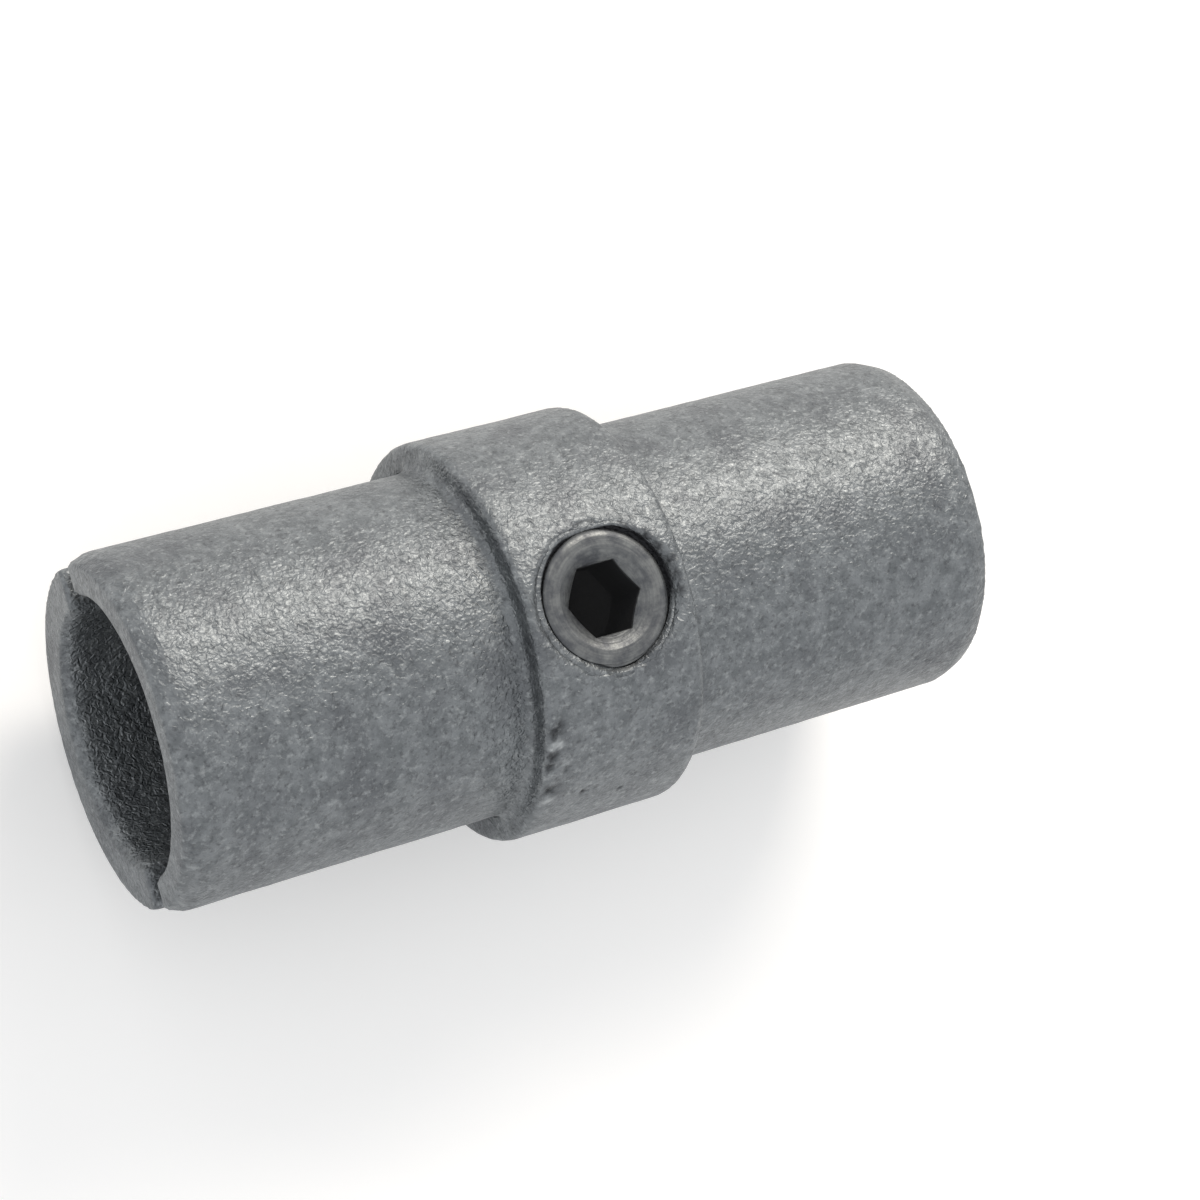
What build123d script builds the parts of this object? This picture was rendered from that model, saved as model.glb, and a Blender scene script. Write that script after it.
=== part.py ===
# Expanding tube connector of the 1 1/2 inch nominal size.
#
# Three pieces, all of iron or steel:
#   collar_body  one casting: the collar, an upper half-round jaw on each side of it, and a
#                tapped boss for the screw inside the collar
#   expander     one casting: the lower half-round jaws, one bar that runs through the collar,
#                with a pillar under the screw and a web on each side of the pillar
#   set_screw    a hexagon-socket screw that stands on the pillar
# Winding the screw in pushes the expander away from the body, which spreads the jaws.
#
# Frame, in millimetres: X runs along the connector, +Z points out of the screw's socket, and the
# origin is at the middle of the collar on the connector's axis. The pieces are placed as they are
# once the jaws have gripped: every jaw then lies on one cylinder, just inside the bore it fits.

from build123d import *
import os
from math import radians, sqrt, tan

# The nominal size that the connector fits
nominal_od = 48.3          # also the collar's diameter, so the joint is flush
nominal_wall = 3.2

# The collar
collar_width = 21.0
collar_wall = 3.8          # of the ring below the expander
collar_edge_round = 1.0
window_flare = 0.5         # broken edge at both ends of the opening through the collar

# The jaws
jaw_length = 42.0          # from the collar's face to the jaw's end
body_jaw_wall = 5.0
expander_jaw_wall = 6.5    # thicker, because the expander is bent by the screw
jaw_lead_length = 2.4      # taper at the jaws' ends, which finds the bore
jaw_lead_depth = 0.9
jaw_edge_round = 0.8       # along the edges of the split
trough_flare = 0.8         # broken edge inside the jaws' ends
grip_clearance = 0.05      # between a jaw and the bore

# The expander's travel, from where the jaws have gripped
collapse_travel = 2.4      # towards the body
expand_travel = 0.6        # away from the body
stop_clearance = 0.3       # left at both ends of the travel
flank_clearance = 0.4      # between the raised expander's flanks and the collar
waist_clearance = 0.4      # between the collar's faces and the expander's shoulders

# The set screw, 3/8 inch BSP
screw_major_diameter = 16.66
screw_length = 16.0
screw_sink = 0.95          # of the screw's face below the collar's crown
screw_face_radius = 7.1    # of the flat rim round the socket's countersink
screw_edge_width = 0.5     # of the broken edge outside that rim
screw_face_chamfer = 1.6   # height over which the thread starts
screw_tip_radius = 6.4
screw_tip_chamfer = 1.4
tip_cup_radius = 4.0
tip_cup_depth = 1.2
socket_across_flats = 8.0
socket_depth = 8.0
socket_mouth_radius = 5.8
socket_mouth_angle = 60.0  # half the angle of the countersink around the socket
socket_drill_angle = 59.0  # half the angle of the drill's point
thread_clearance = 0.06    # between the screw and the tapped hole

# The tapped boss
boss_wall = 4.2            # around the hole at the boss's end
boss_draft = 3.0           # degrees
hole_mouth_width = 1.25    # of the countersink at the collar's crown
hole_end_chamfer = 0.7

# The pillar and its webs
pillar_radius = 8.6        # under the broken edge at its top
pillar_draft = 3.0         # degrees
pillar_headroom = 0.7      # left under the boss when the jaws are collapsed
pillar_chamfer = 0.9       # broken edge at its top
seat_depth = 0.5           # of the dish that the screw's point stands in
seat_clearance = 0.3       # around the point
web_thickness = 6.0
web_reach = 24.0           # from the middle of the collar to the webs' feet
web_drop = 5.0             # of the webs' tops below the pillar's top

# Places that follow from these
collar_radius = nominal_od / 2
bore_radius = collar_radius - nominal_wall
jaw_radius = bore_radius - grip_clearance
body_trough_radius = jaw_radius - body_jaw_wall
expander_trough_radius = jaw_radius - expander_jaw_wall
half_collar = collar_width / 2
half_length = half_collar + jaw_length
half_split = collapse_travel / 2 + stop_clearance
window_radius = collar_radius - collar_wall
waist_radius = window_radius - expand_travel - stop_clearance
half_waist = half_collar + waist_clearance
raised_split = collapse_travel - half_split
flank_half_width = sqrt(window_radius**2 - raised_split**2) - flank_clearance
screw_radius = screw_major_diameter / 2
hole_radius = screw_radius + thread_clearance
screw_face_z = collar_radius - screw_sink
screw_tip_z = screw_face_z - screw_length
pillar_top_z = screw_tip_z + seat_depth
boss_end_z = pillar_top_z + collapse_travel + pillar_headroom
boss_end_radius = hole_radius + boss_wall
reach = 2 * half_length + nominal_od  # longer than the whole part


def turned(profile, axis):
    # A solid of revolution from points given as place along the axis and radius.
    if axis == Axis.X:
        outline = [(x, 0, r) for x, r in profile]
    else:
        outline = [(r, 0, z) for z, r in profile]
    return revolve(make_face(Polyline(*outline, close=True)), axis)


def above(z):
    return Pos(0, 0, z + reach / 2) * Box(reach, reach, reach)


def below(z):
    return Pos(0, 0, z - reach / 2) * Box(reach, reach, reach)


def flared_cut(radius, half_span, flare):
    # A round cut along X whose edges are broken at both ends of the span.
    return turned(
        [
            (-reach, 0),
            (-reach, radius + flare),
            (-half_span, radius + flare),
            (flare - half_span, radius),
            (half_span - flare, radius),
            (half_span, radius + flare),
            (reach, radius + flare),
            (reach, 0),
        ],
        Axis.X,
    )


def jaw_ends(radius):
    # The outline of the right-hand jaws from the lead-in taper to the end.
    return [
        (half_length - jaw_lead_length, radius),
        (half_length, radius - jaw_lead_depth),
        (half_length, 0),
    ]


def mirrored(points):
    # The same outline on the left, in the order that closes it.
    return [(-x, r) for x, r in reversed(points)]


def split_edges(shape, z, radius):
    # The outer edges along the split: straight, along X, at the jaws' full radius.
    half_width = sqrt(radius**2 - z**2)
    return [
        edge
        for edge in shape.edges().filter_by(Axis.X)
        if abs(edge.center().Z - z) < 0.01 and abs(abs(edge.center().Y) - half_width) < 0.01
    ]


def collar_body():
    collar = Rot(0, 90, 0) * Cylinder(collar_radius, collar_width)
    collar = fillet(collar.edges().filter_by(GeomType.CIRCLE), collar_edge_round)

    right_end = jaw_ends(jaw_radius)
    jaws = turned(mirrored(right_end) + right_end, Axis.X) & above(half_split)
    jaws = fillet(split_edges(jaws, half_split, jaw_radius), jaw_edge_round)

    window = flared_cut(window_radius, half_collar, window_flare) & below(half_split)
    trough = flared_cut(body_trough_radius, half_length, trough_flare)
    casting = collar + jaws - window - trough

    boss_top_radius = boss_end_radius + (jaw_radius - boss_end_z) * tan(radians(boss_draft))
    boss = turned(
        [(boss_end_z, 0), (boss_end_z, boss_end_radius), (jaw_radius, boss_top_radius), (jaw_radius, 0)],
        Axis.Z,
    )
    inside = Rot(0, 90, 0) * Cylinder(jaw_radius, collar_width + jaw_length)
    casting += boss & inside

    hole = turned(
        [
            (0, 0),
            (0, hole_radius + hole_end_chamfer),
            (boss_end_z, hole_radius + hole_end_chamfer),
            (boss_end_z + hole_end_chamfer, hole_radius),
            (collar_radius - hole_mouth_width, hole_radius),
            (collar_radius, hole_radius + hole_mouth_width),
            (reach, hole_radius + hole_mouth_width),
            (reach, 0),
        ],
        Axis.Z,
    )
    return casting - hole


def expander():
    right_half = [(half_waist, waist_radius), (half_waist, jaw_radius)] + jaw_ends(jaw_radius)
    bar = turned(mirrored(right_half) + right_half, Axis.X) & below(-half_split)
    bar &= Box(reach, 2 * flank_half_width, reach)
    bar -= flared_cut(expander_trough_radius, half_length, trough_flare)

    pillar_height = pillar_top_z - pillar_chamfer + waist_radius
    foot_radius = pillar_radius + pillar_height * tan(radians(pillar_draft))
    pillar = turned(
        [
            (-waist_radius, 0),
            (-waist_radius, foot_radius),
            (pillar_top_z - pillar_chamfer, pillar_radius),
            (pillar_top_z, pillar_radius - pillar_chamfer),
            (pillar_top_z, 0),
        ],
        Axis.Z,
    )

    web_top_z = pillar_top_z - web_drop
    web_outline = Polyline(
        (-web_reach, 0, -waist_radius),
        (-web_reach, 0, -expander_trough_radius),
        (-pillar_radius, 0, web_top_z),
        (pillar_radius, 0, web_top_z),
        (web_reach, 0, -expander_trough_radius),
        (web_reach, 0, -waist_radius),
        close=True,
    )
    web = extrude(make_face(web_outline), web_thickness / 2, both=True)
    inside = Rot(0, 90, 0) * Cylinder(waist_radius, 2 * half_length)
    casting = bar + ((pillar + web) & inside)

    tip_slope = (screw_radius - screw_tip_radius) / screw_tip_chamfer
    seat_radius = screw_tip_radius + seat_depth * tip_slope + seat_clearance
    seat = turned([(screw_tip_z, 0), (screw_tip_z, seat_radius), (reach, seat_radius), (reach, 0)], Axis.Z)
    return casting - seat


def set_screw():
    mouth_depth = socket_mouth_radius / tan(radians(socket_mouth_angle))
    blank = turned(
        [
            (screw_tip_z + tip_cup_depth, 0),
            (screw_tip_z, tip_cup_radius),
            (screw_tip_z, screw_tip_radius),
            (screw_tip_z + screw_tip_chamfer, screw_radius),
            (screw_face_z - screw_face_chamfer, screw_radius),
            (screw_face_z - screw_edge_width / 2, screw_face_radius + screw_edge_width),
            (screw_face_z, screw_face_radius),
            (screw_face_z, socket_mouth_radius),
            (screw_face_z - mouth_depth, 0),
        ],
        Axis.Z,
    )
    floor_z = screw_face_z - socket_depth
    drill_radius = socket_across_flats / 2
    socket = Pos(0, 0, floor_z) * extrude(
        RegularPolygon(drill_radius, 6, major_radius=False), socket_depth
    )
    drill_depth = drill_radius / tan(radians(socket_drill_angle))
    drill = turned([(floor_z - drill_depth, 0), (floor_z, drill_radius), (screw_face_z, 0)], Axis.Z)
    return blank - socket - drill


os.makedirs("parts", exist_ok=True)
for name, make in (("collar_body", collar_body), ("expander", expander), ("set_screw", set_screw)):
    export_step(make(), f"parts/{name}.step")
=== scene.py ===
from math import cos, hypot, pi, radians, sin, tan

import bmesh
import bpy
from mathutils import Matrix, Vector


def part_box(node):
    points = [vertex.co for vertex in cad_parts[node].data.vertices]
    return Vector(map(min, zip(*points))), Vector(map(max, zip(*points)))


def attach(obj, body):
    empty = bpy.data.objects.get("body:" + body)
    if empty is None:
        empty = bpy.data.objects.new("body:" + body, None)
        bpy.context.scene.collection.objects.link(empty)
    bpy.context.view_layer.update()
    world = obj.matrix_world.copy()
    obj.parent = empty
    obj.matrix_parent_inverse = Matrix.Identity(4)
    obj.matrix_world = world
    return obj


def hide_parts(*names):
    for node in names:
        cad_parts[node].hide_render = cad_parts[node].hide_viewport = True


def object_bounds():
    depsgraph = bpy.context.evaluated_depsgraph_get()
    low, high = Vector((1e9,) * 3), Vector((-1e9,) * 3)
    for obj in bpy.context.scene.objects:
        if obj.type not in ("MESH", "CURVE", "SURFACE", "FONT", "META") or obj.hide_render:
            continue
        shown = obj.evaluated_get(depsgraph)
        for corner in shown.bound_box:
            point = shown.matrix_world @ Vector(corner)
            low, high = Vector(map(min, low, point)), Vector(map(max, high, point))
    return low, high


mm = 0.001
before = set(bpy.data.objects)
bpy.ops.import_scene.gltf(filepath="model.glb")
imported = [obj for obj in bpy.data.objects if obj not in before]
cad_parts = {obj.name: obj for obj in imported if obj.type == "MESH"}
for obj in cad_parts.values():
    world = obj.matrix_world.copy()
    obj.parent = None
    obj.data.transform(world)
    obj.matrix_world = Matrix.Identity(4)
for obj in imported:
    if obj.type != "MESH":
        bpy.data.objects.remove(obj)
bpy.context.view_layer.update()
print("frame loaded:", ", ".join(sorted(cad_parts)))


def toLinear(hexText):  # sRGB hex to the linear colour that sockets take
    shades = [int(hexText[i:i + 2], 16) / 255 for i in (1, 3, 5)]
    return [s / 12.92 if s <= 0.04045 else ((s + 0.055) / 1.055) ** 2.4 for s in shades] + [1]


def addNode(tree, kind, inputs=None, **settings):  # a node with its settings and links
    node = tree.nodes.new(kind)
    for name, value in settings.items():
        setattr(node, name, value)
    for name, value in (inputs or {}).items():
        if isinstance(value, bpy.types.NodeSocket):
            tree.links.new(value, node.inputs[name])
        else:
            node.inputs[name].default_value = value
    return node


def newTree(name, sizes):  # a geometry tree whose sizes are named inputs
    tree = bpy.data.node_groups.new(name, "GeometryNodeTree")
    tree.interface.new_socket("Geometry", in_out="INPUT", socket_type="NodeSocketGeometry")
    tree.interface.new_socket("Geometry", in_out="OUTPUT", socket_type="NodeSocketGeometry")
    for label, value in sizes.items():
        kind = "NodeSocketInt" if isinstance(value, int) else "NodeSocketFloat"
        tree.interface.new_socket(label, in_out="INPUT", socket_type=kind).default_value = value
    return tree, addNode(tree, "NodeGroupInput").outputs


def endTree(tree, geometry, material):  # every tree leaves real faces with their material
    real = addNode(tree, "GeometryNodeRealizeInstances", {"Geometry": geometry})
    dressed = addNode(tree, "GeometryNodeSetMaterial",
                      {"Geometry": real.outputs[0], "Material": material})
    addNode(tree, "NodeGroupOutput", {"Geometry": dressed.outputs[0]})


def addTree(piece, tree, sizes):  # the tree as a modifier, its inputs set by identifier
    modifier = piece.modifiers.new(tree.name, "NODES")
    modifier.node_group = tree
    for item in tree.interface.items_tree:
        if item.in_out == "INPUT" and item.name in sizes:
            modifier[item.identifier] = sizes[item.name]


def newPiece(name, mesh):
    piece = bpy.data.objects.new(name, mesh)
    bpy.context.scene.collection.objects.link(piece)
    return piece


def toPlainMesh(piece):  # modifiers become faces
    evaluated = piece.evaluated_get(bpy.context.evaluated_depsgraph_get())
    mesh = bpy.data.meshes.new_from_object(evaluated)
    mesh.name = piece.name
    piece.modifiers.clear()
    piece.data = mesh
    for face in mesh.polygons:
        face.use_smooth = True
    print(f"  {piece.name}: {len(mesh.polygons)} faces")


# Materials

def galvanisedIron():
    # hot-dip galvanised malleable iron: a matt grey zinc skin over sand-cast iron, mottled
    # where the zinc froze, with fine raised grains that sparkle under a lamp
    look = {
        # the second colour is painted shade in the pits, the blow holes, the tapped hole's mouth
        # and its thread; the third is a painted highlight on the zinc beads
        "zinc": "#6a6e71", "hollowShade": "#26272a", "beadGlint": "#b9bdbf",
        "layers": {  # laid over the zinc in turn, each where its noise passes from low to high
            "mottle": {"colour": "#7e8285", "size": 1.8, "detail": 4, "broken": 0.6,
                       "low": 0.38, "high": 0.62, "share": 1},
            "cloud": {"colour": "#5f6266", "size": 7, "detail": 3, "broken": 0.5,
                      "low": 0.5, "high": 0.68, "share": 0.7},
            "speck": {"colour": "#4a4c4f", "size": 0.6, "detail": 3, "broken": 0.6,
                      "low": 0.52, "high": 0.72, "share": 0.65},
            "frost": {"colour": "#979b9d", "size": 0.8, "detail": 4, "broken": 0.65,
                      "low": 0.53, "high": 0.7, "share": 0.75, "shift": (0.31, 0.17, 0.23)},
        },
        "grainSize": 0.66, "grainDepth": 0.22, "grainBend": 0.9,
        "grainDetail": 1, "grainBroken": 0.4,
        "fineSize": 0.22, "fineDepth": 0.03, "fineLow": 0.3, "fineHigh": 0.7,
        "fineDetail": 2, "fineBroken": 0.6,
        "roughLow": 0.38, "roughHigh": 0.56, "metallic": 0.85,
    }
    material = bpy.data.materials.new("hot-dip galvanised iron")
    material.use_nodes = True
    tree = material.node_tree
    shader = tree.nodes["Principled BSDF"]
    place = addNode(tree, "ShaderNodeTexCoord").outputs["Object"]

    colour = toLinear(look["zinc"])
    for layer in look["layers"].values():
        start = addNode(tree, "ShaderNodeVectorMath", {0: place, 1: layer.get("shift", (0, 0, 0))})
        noise = addNode(tree, "ShaderNodeTexNoise", {
            "Vector": start.outputs["Vector"], "Scale": 1 / (layer["size"] * mm),
            "Detail": layer["detail"], "Roughness": layer["broken"]})
        cover = addNode(tree, "ShaderNodeMapRange", {
            "Value": noise.outputs["Fac"], "From Min": layer["low"], "From Max": layer["high"],
            "To Max": layer["share"]})
        colour = addNode(tree, "ShaderNodeMix", {
            "Factor": cover.outputs["Result"], "A": colour, "B": toLinear(layer["colour"])},
            data_type="RGBA").outputs["Result"]
    # painted shade and painted highlights, laid where the mesh's attributes say
    for mark in ("hollowShade", "beadGlint"):  # both are attributes of the mesh
        cover = addNode(tree, "ShaderNodeAttribute", attribute_name=mark)
        colour = addNode(tree, "ShaderNodeMix", {
            "Factor": cover.outputs["Fac"], "A": colour, "B": toLinear(look[mark])},
            data_type="RGBA").outputs["Result"]

    grain = addNode(tree, "ShaderNodeTexNoise", {
        "Vector": place, "Scale": 1 / (look["grainSize"] * mm), "Detail": look["grainDetail"],
        "Roughness": look["grainBroken"], "Distortion": look["grainBend"]})
    fine = addNode(tree, "ShaderNodeTexNoise", {
        "Vector": place, "Scale": 1 / (look["fineSize"] * mm), "Detail": look["fineDetail"],
        "Roughness": look["fineBroken"]})
    rough = addNode(tree, "ShaderNodeMapRange", {
        "Value": fine.outputs["Fac"], "From Min": look["fineLow"], "From Max": look["fineHigh"],
        "To Min": look["roughLow"], "To Max": look["roughHigh"]})
    coarse = addNode(tree, "ShaderNodeBump", {
        "Height": grain.outputs["Fac"], "Distance": look["grainDepth"] * mm, "Strength": 1})
    skin = addNode(tree, "ShaderNodeBump", {
        "Height": fine.outputs["Fac"], "Distance": look["fineDepth"] * mm, "Strength": 1,
        "Normal": coarse.outputs["Normal"]})
    tree.links.new(colour, shader.inputs["Base Color"])
    tree.links.new(rough.outputs["Result"], shader.inputs["Roughness"])
    tree.links.new(skin.outputs["Normal"], shader.inputs["Normal"])
    shader.inputs["Metallic"].default_value = look["metallic"]
    return material


def platedSteel():
    # turned steel, zinc plated and dulled: smoother than the castings, with the rings that the
    # lathe tool left round the screw's axis and a few dark stains
    look = {
        # the near-black colour is painted shade for the socket and the thread
        "bright": "#7a7c7c", "dull": "#4b4d52", "recessShade": "#17181a", "recessShadeRough": 0.7,
        "ringPitch": 0.34, "strokeTurn": 0.9, "ringDepth": 0.05, "ringShade": 0.4,
        "ringLow": 0.35, "ringHigh": 0.65, "ringDetail": 2, "ringBroken": 0.6,
        "stainSize": 1.9, "stainLow": 0.4, "stainHigh": 0.64, "stainShare": 0.75,
        "stainDetail": 4, "stainBroken": 0.65,
        "grainSize": 0.35, "grainDepth": 0.03, "grainLow": 0.3, "grainHigh": 0.7,
        "grainDetail": 3, "grainBroken": 0.6,
        "roughLow": 0.4, "roughHigh": 0.56, "metallic": 1,
    }
    material = bpy.data.materials.new("zinc-plated turned steel")
    material.use_nodes = True
    tree = material.node_tree
    shader = tree.nodes["Principled BSDF"]
    place = addNode(tree, "ShaderNodeTexCoord").outputs["Object"]

    # strokes that run round the axis: fine across the radius, long round the turn
    flat = addNode(tree, "ShaderNodeVectorMath", {0: place, 1: (1, 1, 0)}, operation="MULTIPLY")
    radius = addNode(tree, "ShaderNodeVectorMath", {0: flat.outputs["Vector"]},
                     operation="LENGTH")
    outward = addNode(tree, "ShaderNodeVectorMath", {0: flat.outputs["Vector"]},
                      operation="NORMALIZE")
    aroundTurn = addNode(tree, "ShaderNodeVectorMath", {
        0: outward.outputs["Vector"], "Scale": 1 / look["strokeTurn"]}, operation="SCALE")
    across = addNode(tree, "ShaderNodeMath", {
        0: radius.outputs["Value"], 1: 1 / (look["ringPitch"] * mm)}, operation="MULTIPLY")
    rise = addNode(tree, "ShaderNodeCombineXYZ", {"Z": across.outputs[0]})
    stroke = addNode(tree, "ShaderNodeVectorMath", {
        0: aroundTurn.outputs["Vector"], 1: rise.outputs[0]})
    rings = addNode(tree, "ShaderNodeTexNoise", {
        "Vector": stroke.outputs["Vector"], "Scale": 1, "Detail": look["ringDetail"],
        "Roughness": look["ringBroken"]})
    strokes = addNode(tree, "ShaderNodeMapRange", {
        "Value": rings.outputs["Fac"], "From Min": look["ringLow"], "From Max": look["ringHigh"],
        "To Min": look["ringShade"], "To Max": 0})

    stain = addNode(tree, "ShaderNodeTexNoise", {
        "Vector": place, "Scale": 1 / (look["stainSize"] * mm), "Detail": look["stainDetail"],
        "Roughness": look["stainBroken"]})
    dulling = addNode(tree, "ShaderNodeMapRange", {
        "Value": stain.outputs["Fac"], "From Min": look["stainLow"],
        "From Max": look["stainHigh"], "To Max": look["stainShare"]})
    colour = toLinear(look["bright"])
    for cover in (dulling, strokes):
        colour = addNode(tree, "ShaderNodeMix", {
            "Factor": cover.outputs["Result"], "A": colour, "B": toLinear(look["dull"])},
            data_type="RGBA").outputs["Result"]

    grain = addNode(tree, "ShaderNodeTexNoise", {
        "Vector": place, "Scale": 1 / (look["grainSize"] * mm), "Detail": look["grainDetail"],
        "Roughness": look["grainBroken"]})
    rough = addNode(tree, "ShaderNodeMapRange", {
        "Value": grain.outputs["Fac"], "From Min": look["grainLow"], "From Max": look["grainHigh"],
        "To Min": look["roughLow"], "To Max": look["roughHigh"]})
    turned = addNode(tree, "ShaderNodeBump", {
        "Height": rings.outputs["Fac"], "Distance": look["ringDepth"] * mm, "Strength": 1})
    skin = addNode(tree, "ShaderNodeBump", {
        "Height": grain.outputs["Fac"], "Distance": look["grainDepth"] * mm, "Strength": 1,
        "Normal": turned.outputs["Normal"]})

    # painted shade, near black, rougher and less metallic, lies in the socket and on the thread
    # below the face, where the mesh's attribute says so
    recessShade = addNode(tree, "ShaderNodeAttribute", attribute_name="recessShade")
    shadedColour = addNode(tree, "ShaderNodeMix", {
        "Factor": recessShade.outputs["Fac"], "A": colour, "B": toLinear(look["recessShade"])},
        data_type="RGBA")
    shadedRough = addNode(tree, "ShaderNodeMix", {
        "Factor": recessShade.outputs["Fac"], "A": rough.outputs["Result"], "B": look["recessShadeRough"]})
    unshadedMetal = addNode(tree, "ShaderNodeMath", {0: look["metallic"], 1: recessShade.outputs["Fac"]},
                   operation="SUBTRACT", use_clamp=True)
    tree.links.new(shadedColour.outputs["Result"], shader.inputs["Base Color"])
    tree.links.new(shadedRough.outputs["Result"], shader.inputs["Roughness"])
    tree.links.new(skin.outputs["Normal"], shader.inputs["Normal"])
    tree.links.new(unshadedMetal.outputs[0], shader.inputs["Metallic"])
    return material


galvanised = galvanisedIron()
plated = platedSteel()
print("materials ready")


# The castings: each solid is re-skinned with small even faces, its edges are softened as a
# sand mould and a zinc bath leave them, and its skin is pressed in a little here and there

# dark marks in mm on the surface, all painted shade: blow holes near the collar's lower left edge,
# then the mouth of the tapped hole on its side towards +X
darkMarks = [
    {"place": (-9.3, -13.0, 20.2), "radius": 1.3}, {"place": (-8.6, -12.2, 20.6), "radius": 0.9},
    {"place": (-9.5, -15.6, 18.3), "radius": 1.2}, {"place": (-9.8, -16.6, 17.3), "radius": 1.0},
    {"place": (-9.2, -19.2, 14.5), "radius": 1.4}, {"place": (-7.5, -17.3, 16.6), "radius": 0.7},
    {"place": (-4.7, -20.4, 12.7), "radius": 0.7}, {"place": (-5.1, -23.2, 6.0), "radius": 0.9},
    # painted shade in the mouth of the tapped hole
    {"place": (9.0, -1.2, 23.5), "radius": 0.9}, {"place": (8.9, 0.6, 23.5), "radius": 1.1},
    {"place": (8.6, 2.3, 23.4), "radius": 1.3}, {"place": (7.9, 4.0, 23.2), "radius": 1.2},
    {"place": (6.9, 5.6, 23.0), "radius": 1.0},
]

# beads of zinc between the blow holes, each lighter: a painted highlight
beadGlints = [
    {"place": (-9.7, -14.5, 19.1), "radius": 0.8}, {"place": (-8.8, -14.3, 19.3), "radius": 0.8},
    {"place": (-9.3, -20.3, 13.0), "radius": 1.0},
]

castingLook = {
    "voxel": 0.49 * mm, "weld": 0.001 * mm,
    "waveDetail": {"Swell": 2, "Ripple": 1}, "wobbleDetail": 2,
}

skinSizes = {
    "Softening": 1,               # passes that round the edges
    "Inner Softening": 9,         # more of them where the webs and the pillar stand in the jaws
    "Inner Radius": 15.0 * mm,
    "Inner Top": 5.2 * mm,        # the pillar's seat above this stays true
    "Swell Width": 7.0 * mm,      # slow unevenness of the cast wall
    "Swell Depth": 0.2 * mm,
    "Ripple Width": 1.5 * mm,     # small waves where the zinc ran
    "Ripple Depth": 0.07 * mm,
    "Pit Spacing": 3.4 * mm,
    "Pit Radius": 0.42 * mm,
    "Pit Depth": 0.28 * mm,
    "Wobble Width": 0.9 * mm,     # makes the marks ragged
    "Wobble Reach": 2.2 * mm,
    "Smooth Radius": 9.1 * mm,    # the turned hole and its mouth stay smooth out to here
    "Smooth Fade": 1.0 * mm,
    "Bore Radius": 8.7 * mm,      # the tapped hole's wall steps back behind its own thread
    "Bore Low": 11.6 * mm,
    "Bore High": 21.8 * mm,
    "Bore Relief": 0.25 * mm,
    "Seed": 7,
}


def softenEdges(tree, given, here, height):
    # every edge a little, and more where the webs and the pillar stand in the jaws
    blurred = addNode(tree, "GeometryNodeBlurAttribute", {
        "Value": here, "Iterations": given["Softening"]}, data_type="FLOAT_VECTOR")
    eased = addNode(tree, "GeometryNodeSetPosition", {
        "Geometry": given["Geometry"], "Position": blurred.outputs["Value"]})
    across = addNode(tree, "ShaderNodeVectorMath", {0: here, 1: (0, 1, 1)}, operation="MULTIPLY")
    fromAxis = addNode(tree, "ShaderNodeVectorMath", {0: across.outputs[0]}, operation="LENGTH")
    within = addNode(tree, "FunctionNodeCompare", {
        0: fromAxis.outputs["Value"], 1: given["Inner Radius"]}, operation="LESS_THAN")
    under = addNode(tree, "FunctionNodeCompare", {0: height, 1: given["Inner Top"]},
                    operation="LESS_THAN")
    inner = addNode(tree, "FunctionNodeBooleanMath", {0: within.outputs[0], 1: under.outputs[0]})
    rounder = addNode(tree, "GeometryNodeBlurAttribute", {
        "Value": here, "Iterations": given["Inner Softening"]}, data_type="FLOAT_VECTOR")
    softened = addNode(tree, "GeometryNodeSetPosition", {
        "Geometry": eased.outputs[0], "Selection": inner.outputs[0],
        "Position": rounder.outputs["Value"]})
    return softened.outputs[0]


def addPits(tree, given, here):
    # a field that is 1 in the middle of a pit and 0 outside
    pitScale = addNode(tree, "ShaderNodeMath", {0: 1, 1: given["Pit Spacing"]},
                       operation="DIVIDE")
    cells = addNode(tree, "ShaderNodeTexVoronoi", {
        "Vector": here, "W": given["Seed"], "Scale": pitScale.outputs[0], "Randomness": 1},
        voronoi_dimensions="4D")
    away = addNode(tree, "ShaderNodeMath", {
        0: cells.outputs["Distance"], 1: given["Pit Spacing"]}, operation="MULTIPLY")
    return addNode(tree, "ShaderNodeMapRange", {
        "Value": away.outputs[0], "From Min": given["Pit Radius"], "From Max": 0},
        interpolation_type="SMOOTHSTEP").outputs["Result"]


def raggedPlace(tree, given, here):
    # each place moved a little, so that what is measured from it gets a ragged outline
    wobbleScale = addNode(tree, "ShaderNodeMath", {0: 1, 1: given["Wobble Width"]},
                          operation="DIVIDE")
    wander = addNode(tree, "ShaderNodeTexNoise", {
        "Vector": here, "W": given["Seed"], "Scale": wobbleScale.outputs[0],
        "Detail": castingLook["wobbleDetail"]}, noise_dimensions="4D")
    middle = (0.5, 0.5, 0.5)  # of the noise, so that the places move to all sides
    sway = addNode(tree, "ShaderNodeVectorMath", {0: wander.outputs["Color"], 1: middle},
                   operation="SUBTRACT")
    swayed = addNode(tree, "ShaderNodeVectorMath", {
        0: sway.outputs[0], "Scale": given["Wobble Reach"]}, operation="SCALE")
    return addNode(tree, "ShaderNodeVectorMath", {0: here, 1: swayed.outputs[0]}).outputs[0]


def addMarks(tree, ragged, marks, field):
    # the same field, with 1 in the middle of each mark too
    for mark in marks:
        reach = addNode(tree, "ShaderNodeVectorMath", {
            0: ragged, 1: [c * mm for c in mark["place"]]}, operation="DISTANCE")
        near = addNode(tree, "ShaderNodeMapRange", {
            "Value": reach.outputs["Value"], "From Min": mark["radius"] * mm, "From Max": 0},
            interpolation_type="SMOOTHSTEP")
        field = addNode(tree, "ShaderNodeMath", {0: field, 1: near.outputs["Result"]},
                        operation="MAXIMUM").outputs[0]
    return field


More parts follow.
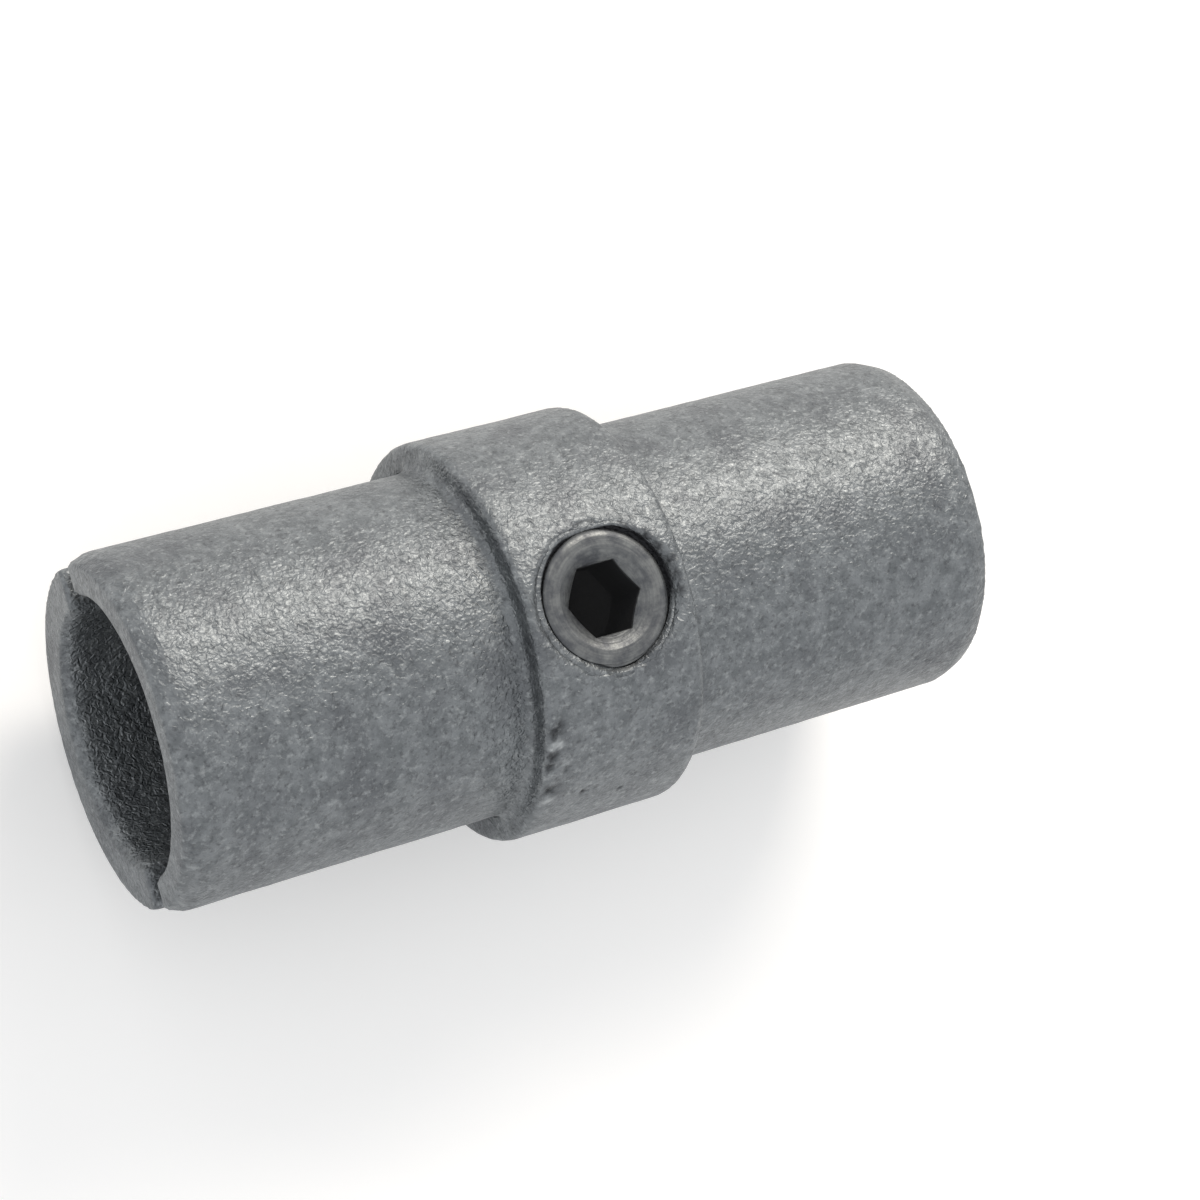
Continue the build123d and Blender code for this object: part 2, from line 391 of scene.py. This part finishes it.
def pressSkin(tree, given, here, hole, beadGlint, fromScrew, geometry):
    # inward only, so that the skin stays within the solid; the beads stay out and the turned
    # hole stays smooth
    depth = addNode(tree, "ShaderNodeMath", {0: hole, 1: given["Pit Depth"]},
                    operation="MULTIPLY").outputs[0]
    for wave, detail in castingLook["waveDetail"].items():
        scale = addNode(tree, "ShaderNodeMath", {0: 1, 1: given[f"{wave} Width"]},
                        operation="DIVIDE")
        noise = addNode(tree, "ShaderNodeTexNoise", {
            "Vector": here, "W": given["Seed"], "Scale": scale.outputs[0], "Detail": detail},
            noise_dimensions="4D")
        dip = addNode(tree, "ShaderNodeMath", {
            0: noise.outputs["Fac"], 1: given[f"{wave} Depth"]}, operation="MULTIPLY")
        depth = addNode(tree, "ShaderNodeMath", {0: depth, 1: dip.outputs[0]}).outputs[0]
    fadeEnd = addNode(tree, "ShaderNodeMath", {0: given["Smooth Radius"], 1: given["Smooth Fade"]})
    rough = addNode(tree, "ShaderNodeMapRange", {
        "Value": fromScrew, "From Min": given["Smooth Radius"], "From Max": fadeEnd.outputs[0]},
        interpolation_type="SMOOTHSTEP")
    sunk = addNode(tree, "ShaderNodeMath", {0: 1, 1: beadGlint}, operation="SUBTRACT")
    share = addNode(tree, "ShaderNodeMath", {0: rough.outputs["Result"], 1: sunk.outputs[0]},
                    operation="MULTIPLY")
    kept = addNode(tree, "ShaderNodeMath", {0: depth, 1: share.outputs[0]}, operation="MULTIPLY")
    inward = addNode(tree, "ShaderNodeMath", {0: kept.outputs[0], 1: -1}, operation="MULTIPLY")
    normal = addNode(tree, "GeometryNodeInputNormal").outputs[0]
    push = addNode(tree, "ShaderNodeVectorMath", {0: normal, "Scale": inward.outputs[0]},
                   operation="SCALE")
    pressed = addNode(tree, "GeometryNodeSetPosition", {
        "Geometry": geometry, "Offset": push.outputs[0]})
    return pressed.outputs[0]


def relieveBore(tree, given, height, level, fromScrew, geometry):
    # the tapped hole's wall moves out, between its mouth and its lower end
    inBore = addNode(tree, "FunctionNodeCompare", {0: fromScrew, 1: given["Bore Radius"]},
                     operation="LESS_THAN")
    overEnd = addNode(tree, "FunctionNodeCompare", {0: height, 1: given["Bore Low"]},
                      operation="GREATER_THAN")
    underMouth = addNode(tree, "FunctionNodeCompare", {0: height, 1: given["Bore High"]},
                         operation="LESS_THAN")
    between = addNode(tree, "FunctionNodeBooleanMath", {
        0: overEnd.outputs[0], 1: underMouth.outputs[0]})
    bored = addNode(tree, "FunctionNodeBooleanMath", {0: inBore.outputs[0], 1: between.outputs[0]})
    outward = addNode(tree, "ShaderNodeVectorMath", {0: level}, operation="NORMALIZE")
    back = addNode(tree, "ShaderNodeVectorMath", {
        0: outward.outputs[0], "Scale": given["Bore Relief"]}, operation="SCALE")
    relieved = addNode(tree, "GeometryNodeSetPosition", {
        "Geometry": geometry, "Selection": bored.outputs[0], "Offset": back.outputs[0]})
    return relieved.outputs[0]


def castSkinTree(material):
    tree, given = newTree("castSkin", skinSizes)
    here = addNode(tree, "GeometryNodeInputPosition").outputs[0]
    height = addNode(tree, "ShaderNodeSeparateXYZ", {0: here}).outputs["Z"]
    level = addNode(tree, "ShaderNodeVectorMath", {0: here, 1: (1, 1, 0)},
                    operation="MULTIPLY").outputs[0]
    fromScrew = addNode(tree, "ShaderNodeVectorMath", {0: level},
                        operation="LENGTH").outputs["Value"]
    ragged = raggedPlace(tree, given, here)
    hole = addMarks(tree, ragged, darkMarks, addPits(tree, given, here))
    beadGlint = addMarks(tree, ragged, beadGlints, 0)
    geometry = softenEdges(tree, given, here, height)
    # the pits and dark marks carry painted shade, the beads a painted highlight
    for name, field in (("hollowShade", hole), ("beadGlint", beadGlint)):
        geometry = addNode(tree, "GeometryNodeStoreNamedAttribute", {
            "Geometry": geometry, "Name": name, "Value": field},
            data_type="FLOAT", domain="POINT").outputs[0]
    geometry = pressSkin(tree, given, here, hole, beadGlint, fromScrew, geometry)
    geometry = relieveBore(tree, given, height, level, fromScrew, geometry)
    endTree(tree, geometry, material)
    return tree


castSkin = castSkinTree(galvanised)


def makeCasting(node, name, body):
    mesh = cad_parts[node].data.copy()
    shape = bmesh.new()
    shape.from_mesh(mesh)
    bmesh.ops.remove_doubles(shape, verts=shape.verts, dist=castingLook["weld"])
    shape.to_mesh(mesh)
    shape.free()
    mesh.materials.clear()
    piece = newPiece(name, mesh)
    remesh = piece.modifiers.new("evenFaces", "REMESH")
    remesh.mode = "VOXEL"
    remesh.voxel_size = castingLook["voxel"]
    addTree(piece, castSkin, skinSizes)
    toPlainMesh(piece)
    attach(piece, body)
    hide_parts(node)


makeCasting("collar_body", "collar_casting", "body")
makeCasting("expander", "expander_casting", "expander")
print("castings made")


# The set screw: rings of points up its profile, then its thread pressed in

screwLook = {
    "segments": 144, "threadPitch": 25.4 / 19, "threadDepth": 0.856, "stepsPerTurn": 12,
    "faceRadius": 7.1, "edgeWidth": 0.5, "faceChamfer": 1.6, "tipRadius": 6.4, "tipChamfer": 1.4,
    "cupRadius": 4.0, "cupDepth": 1.2, "acrossFlats": 8.0, "socketDepth": 8.0,
    "mouthRadius": 5.8, "mouthAngle": 60, "mouthStep": 0.5, "hexEdge": 0.08,
    "drillAngle": 59, "drillPoint": 0.05, "rimGap": 0.02, "edgeRound": 0.2,
    "threadTop": 0.05, "threadReach": 1.2,
    # painted shade: in the socket from this far under its mouth, and on the thread from this far
    # under the face, at this share
    "socketShadeStart": 0.3, "threadShadeStart": 1.0, "threadShade": 0.8,
}

threadSizes = {
    "Pitch": screwLook["threadPitch"] * mm, "Depth": screwLook["threadDepth"] * mm,
    "Crest": 0.0, "Lowest": 0.0, "Highest": 0.0, "Reach": 1.0 * mm,
    "Turn": radians(45),          # of both threads, so that the hole's runs out at its lower left
}


def threadTree(name, material):
    # every point in the threaded band goes no further out than the thread's own surface there
    tree, given = newTree(name, threadSizes)
    here = addNode(tree, "GeometryNodeInputPosition").outputs[0]
    parts = addNode(tree, "ShaderNodeSeparateXYZ", {0: here}).outputs
    angle = addNode(tree, "ShaderNodeMath", {0: parts["Y"], 1: parts["X"]}, operation="ARCTAN2")
    turn = addNode(tree, "ShaderNodeMath", {0: parts["Z"], 1: given["Pitch"]}, operation="DIVIDE")
    around = addNode(tree, "ShaderNodeMath", {
        0: turn.outputs[0], 1: 2 * pi, 2: given["Turn"]}, operation="MULTIPLY_ADD")
    phase = addNode(tree, "ShaderNodeMath", {0: around.outputs[0], 1: angle.outputs[0]},
                    operation="SUBTRACT")
    wave = addNode(tree, "ShaderNodeMath", {0: phase.outputs[0]}, operation="COSINE")
    groove = addNode(tree, "ShaderNodeMapRange", {
        "Value": wave.outputs[0], "From Min": 1, "From Max": -1, "To Max": given["Depth"]})
    surface = addNode(tree, "ShaderNodeMath", {0: given["Crest"], 1: groove.outputs["Result"]},
                      operation="SUBTRACT")
    level = addNode(tree, "ShaderNodeVectorMath", {0: here, 1: (1, 1, 0)}, operation="MULTIPLY")
    radius = addNode(tree, "ShaderNodeVectorMath", {0: level.outputs[0]}, operation="LENGTH")
    inner = addNode(tree, "ShaderNodeMath", {0: radius.outputs["Value"], 1: surface.outputs[0]},
                    operation="MINIMUM")
    share = addNode(tree, "ShaderNodeMath", {0: inner.outputs[0], 1: radius.outputs["Value"]},
                    operation="DIVIDE")
    x = addNode(tree, "ShaderNodeMath", {0: parts["X"], 1: share.outputs[0]}, operation="MULTIPLY")
    y = addNode(tree, "ShaderNodeMath", {0: parts["Y"], 1: share.outputs[0]}, operation="MULTIPLY")
    cut = addNode(tree, "ShaderNodeCombineXYZ", {
        "X": x.outputs[0], "Y": y.outputs[0], "Z": parts["Z"]})
    above = addNode(tree, "FunctionNodeCompare", {0: parts["Z"], 1: given["Lowest"]},
                    operation="GREATER_THAN")
    below = addNode(tree, "FunctionNodeCompare", {0: parts["Z"], 1: given["Highest"]},
                    operation="LESS_THAN")
    outside = addNode(tree, "FunctionNodeCompare", {
        0: radius.outputs["Value"], 1: given["Crest"], "Epsilon": given["Reach"]},
        operation="EQUAL")
    inBand = addNode(tree, "FunctionNodeBooleanMath", {0: above.outputs[0], 1: below.outputs[0]})
    chosen = addNode(tree, "FunctionNodeBooleanMath", {0: inBand.outputs[0], 1: outside.outputs[0]})
    threaded = addNode(tree, "GeometryNodeSetPosition", {
        "Geometry": given["Geometry"], "Selection": chosen.outputs[0], "Position": cut.outputs[0]})
    endTree(tree, threaded.outputs[0], material)
    return tree


def ringMesh(name, rings, segments, attribute, looped=False):
    # each ring is a radius, a height and the attribute's value, as numbers or as functions of the
    # angle; the mesh is closed at its ends or, looped, from the last ring to the first
    shape = bmesh.new()
    layer = shape.verts.layers.float.new(attribute)
    rows = []
    for ring in rings:
        row = []
        for k in range(segments):
            angle = 2 * pi * k / segments
            radius, z, value = (item(angle) if callable(item) else item for item in ring)
            vert = shape.verts.new(Vector((radius * cos(angle), radius * sin(angle), z)) * mm)
            vert[layer] = value
            row.append(vert)
        rows.append(row)
    for lower, upper in zip(rows, rows[1:] + rows[:looped]):
        for k in range(segments):
            after = (k + 1) % segments
            shape.faces.new((lower[k], lower[after], upper[after], upper[k]))
    for row in () if looped else (rows[0], rows[-1]):
        middle = sum((vert.co for vert in row), Vector()) / segments
        pole = shape.verts.new(middle)
        pole[layer] = row[0][layer]
        for k in range(segments):
            shape.faces.new((row[k], row[(k + 1) % segments], pole))
    bmesh.ops.recalc_face_normals(shape, faces=shape.faces)
    mesh = bpy.data.meshes.new(name)
    shape.to_mesh(mesh)
    shape.free()
    return mesh


def rounded(points, radius, steps=4, least=2.2):
    # the same outline with short arcs at its inner points, each on less than half of a side
    out = [points[0]]
    for before, corner, after in zip(points, points[1:], points[2:]):
        a, b, c = Vector(before), Vector(corner), Vector(after)
        start = b + (a - b).normalized() * min(radius, (a - b).length / least)
        end = b + (c - b).normalized() * min(radius, (c - b).length / least)
        for k in range(steps + 1):
            t = k / steps
            out.append(tuple((1 - t) ** 2 * start + 2 * t * (1 - t) * b + t ** 2 * end))
    return out + [points[-1]]


def makeScrew():
    s = screwLook
    low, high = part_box("set_screw")
    majorRadius, tipZ, faceZ = high.x / mm, low.z / mm, high.z / mm
    outline = rounded([
        (s["cupRadius"] / 2, tipZ + s["cupDepth"] / 2),
        (s["cupRadius"], tipZ),
        (s["tipRadius"], tipZ),
        (majorRadius, tipZ + s["tipChamfer"]),
        (majorRadius, faceZ - s["faceChamfer"]),
        (s["faceRadius"] + s["edgeWidth"], faceZ - s["edgeWidth"] / 2),
        (s["faceRadius"], faceZ),
        (s["mouthRadius"], faceZ),
        (s["mouthRadius"] - s["mouthStep"], faceZ - s["mouthStep"] / tan(radians(s["mouthAngle"]))),
    ], s["edgeRound"])
    step = s["threadPitch"] / s["stepsPerTurn"]
    rings = []
    for (r0, z0), (r1, z1) in zip(outline, outline[1:]):
        outer = max(r0, r1) > s["tipRadius"] + s["edgeRound"] / 2  # where the thread needs points
        count = max(1, round(hypot(r1 - r0, z1 - z0) / step)) if outer else 1
        for k in range(count):
            t = k / count
            r, z = r0 + (r1 - r0) * t, z0 + (z1 - z0) * t
            # painted shade on the thread below the face
            inShadedThread = r > s["tipRadius"] and z < faceZ - s["threadShadeStart"]
            rings.append((r, z, s["threadShade"] if inShadedThread else 0))
    rings.append((*outline[-1], 0))

    def hexAt(angle):  # from the middle to the hexagon's side, with a corner along X
        return s["acrossFlats"] / 2 / cos(angle % (pi / 3) - pi / 6)

    def coneAt(radius):  # the countersink's height
        return faceZ - (s["mouthRadius"] - radius) / tan(radians(s["mouthAngle"]))

    edge = s["hexEdge"]
    floorZ = faceZ - s["socketDepth"]
    drillRadius = s["acrossFlats"] / 2
    drillDepth = drillRadius / tan(radians(s["drillAngle"]))
    rings += [
        (lambda a: hexAt(a) + edge, lambda a: coneAt(hexAt(a) + edge), 0),
        (hexAt, lambda a: coneAt(hexAt(a)) - edge, 0),
        # painted shade, near black, down the socket's walls, floor and drill point
        (hexAt, lambda a: coneAt(hexAt(a)) - edge - s["socketShadeStart"], 1),
        (hexAt, floorZ, 1),
        (drillRadius - s["rimGap"], floorZ, 1),
        (drillRadius * s["drillPoint"], floorZ - drillDepth * (1 - s["drillPoint"]), 1),
    ]
    piece = newPiece("threaded_screw",
                     ringMesh("threaded_screw", rings, s["segments"], "recessShade"))
    addTree(piece, threadTree("screwThread", plated), {
        **threadSizes, "Crest": majorRadius * mm, "Lowest": tipZ * mm,
        "Highest": (faceZ - s["threadTop"]) * mm, "Reach": s["threadReach"] * mm})
    toPlainMesh(piece)
    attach(piece, "screw")
    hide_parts("set_screw")


makeScrew()
print("screw made")


# The hole's own thread: the screw's thread form a little further out, as a sleeve whose outer
# wall lies inside the casting and whose upper end follows the collar's round

tappedLook = {
    "clearance": 0.06, "low": 11.5, "high": 22.85, "underSkin": 0.08, "sunk": 0.6, "edge": 0.01,
    # where painted shade lies on the thread's upper end: its middle, how far it reaches and over
    # how much it fades
    "shadeAt": 22, "shadeWide": 42, "shadeFade": 15,  # degrees, on the thread's upper end
}


def makeTappedThread():
    s, t = screwLook, tappedLook
    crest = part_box("set_screw")[1].x / mm + t["clearance"]
    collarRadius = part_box("collar_body")[1].z / mm
    count = round((t["high"] - t["low"]) / (s["threadPitch"] / s["stepsPerTurn"]))

    def heightAt(share, radius):  # the top row lies just under the collar's skin
        def height(angle):
            skin = (collarRadius ** 2 - (radius * sin(angle)) ** 2) ** 0.5
            return t["low"] + (min(t["high"], skin - t["underSkin"]) - t["low"]) * share
        return height

    # painted shade on the upper end, full near its middle angle, fading to none at its reach
    def shadeShare(angle):
        away = abs((angle - radians(t["shadeAt"]) + pi) % (2 * pi) - pi)
        return min(1, max(0, (radians(t["shadeWide"]) - away) / radians(t["shadeFade"])))

    # painted shade all through the thread inside the hole; its upper end is zinc, but for painted
    # shade at one side
    rings = [(crest, heightAt(k / count, crest), 1) for k in range(count)]
    rings += [(radius, heightAt(1, radius), shadeShare) for radius in (crest, crest + t["sunk"])]
    rings.append((crest + t["sunk"], t["low"], 1))
    piece = newPiece("tapped_thread",
                     ringMesh("tapped_thread", rings, s["segments"], "hollowShade", looped=True))
    addTree(piece, threadTree("holeThread", galvanised), {
        **threadSizes, "Crest": crest * mm, "Lowest": (t["low"] - t["edge"]) * mm,
        "Highest": (t["high"] + t["edge"]) * mm, "Reach": t["sunk"] / 2 * mm})
    toPlainMesh(piece)
    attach(piece, "body")


makeTappedThread()
print("tapped thread made")


# The stage: a white floor under the collar, a soft key lamp and an even sky

stage = {
    "floorSize": 6.0, "floorColour": "#f6f6f6", "floorRough": 0.9, "floorLift": 0.2,
    "skyColour": "#ffffff", "skyStrength": 0.82,
    "keyDirection": (0.43, 0.67, 0.6), "keyDistance": 0.9, "keyWidth": 0.5, "keyHeight": 0.24,
    "keyPower": 4.9, "keyColour": "#fff6e9",
}


def seenRays(tree):  # 1 where the camera sees a surface, straight or in metal or glass
    path = addNode(tree, "ShaderNodeLightPath").outputs
    mirrored = addNode(tree, "ShaderNodeMath", {0: path["Is Camera Ray"], 1: path["Is Glossy Ray"]})
    seen = addNode(tree, "ShaderNodeMath", {
        0: mirrored.outputs[0], 1: path["Is Transmission Ray"]}, use_clamp=True)
    return seen.outputs[0]


def makeFloor():
    low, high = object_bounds()
    half = stage["floorSize"] / 2
    mesh = bpy.data.meshes.new("floor")
    corners = ((-half, -half), (half, -half), (half, half), (-half, half))
    mesh.from_pydata([(x, y, low.z) for x, y in corners], [], [(0, 1, 2, 3)])
    floor = newPiece("floor", mesh)
    material = bpy.data.materials.new("white studio floor")
    material.use_nodes = True
    tree = material.node_tree
    shader = tree.nodes["Principled BSDF"]
    shader.inputs["Base Color"].default_value = toLinear(stage["floorColour"])
    shader.inputs["Roughness"].default_value = stage["floorRough"]
    shader.inputs["Emission Color"].default_value = toLinear(stage["skyColour"])
    lift = addNode(tree, "ShaderNodeMath", {0: seenRays(tree), 1: stage["floorLift"]},
                   operation="MULTIPLY")
    tree.links.new(lift.outputs[0], shader.inputs["Emission Strength"])
    mesh.materials.append(material)


def makeSky():
    world = bpy.data.worlds.new("evenSky")
    bpy.context.scene.world = world
    world.use_nodes = True
    tree = world.node_tree
    background = tree.nodes["Background"]
    background.inputs["Color"].default_value = toLinear(stage["skyColour"])
    strength = addNode(tree, "ShaderNodeMapRange", {
        "Value": seenRays(tree), "To Min": stage["skyStrength"], "To Max": 1})
    tree.links.new(strength.outputs["Result"], background.inputs["Strength"])


def makeKeyLamp():
    key = bpy.data.lights.new("keyLamp", "AREA")
    key.shape = "RECTANGLE"
    key.size, key.size_y = stage["keyWidth"], stage["keyHeight"]
    key.energy = stage["keyPower"]
    key.color = toLinear(stage["keyColour"])[:3]
    lamp = newPiece("keyLamp", key)
    direction = Vector(stage["keyDirection"]).normalized()
    lamp.location = direction * stage["keyDistance"]
    lamp.rotation_euler = direction.to_track_quat("Z", "Y").to_euler()


makeFloor()
makeSky()
makeKeyLamp()

# The camera stands where the photograph was taken from, by a fit to the collar's outline; its
# places are in mm
camera = {
    "place": (-149.86, -4.78, 333.16), "aim": (10.2, 0.3, 0), "upInView": (0.2413, 0.9616, 0.1305),
    "focalPixels": 3089, "framePixels": 1200, "sensor": 36, "nearest": 10,
}


def makeCamera():
    lens = bpy.data.cameras.new("photoCamera")
    lens.sensor_width = camera["sensor"]
    lens.lens = camera["focalPixels"] / camera["framePixels"] * camera["sensor"]
    lens.clip_start = camera["nearest"] * mm
    eye = newPiece("photoCamera", lens)
    place, aim = Vector(camera["place"]) * mm, Vector(camera["aim"]) * mm
    back = (place - aim).normalized()
    right = Vector(camera["upInView"]).cross(back).normalized()
    turn = Matrix((right, back.cross(right), back)).transposed()
    eye.matrix_world = Matrix.Translation(place) @ turn.to_4x4()
    bpy.context.scene.camera = eye


makeCamera()
bpy.context.scene.view_settings.view_transform = "Standard"
print("stage, lamps and camera ready")
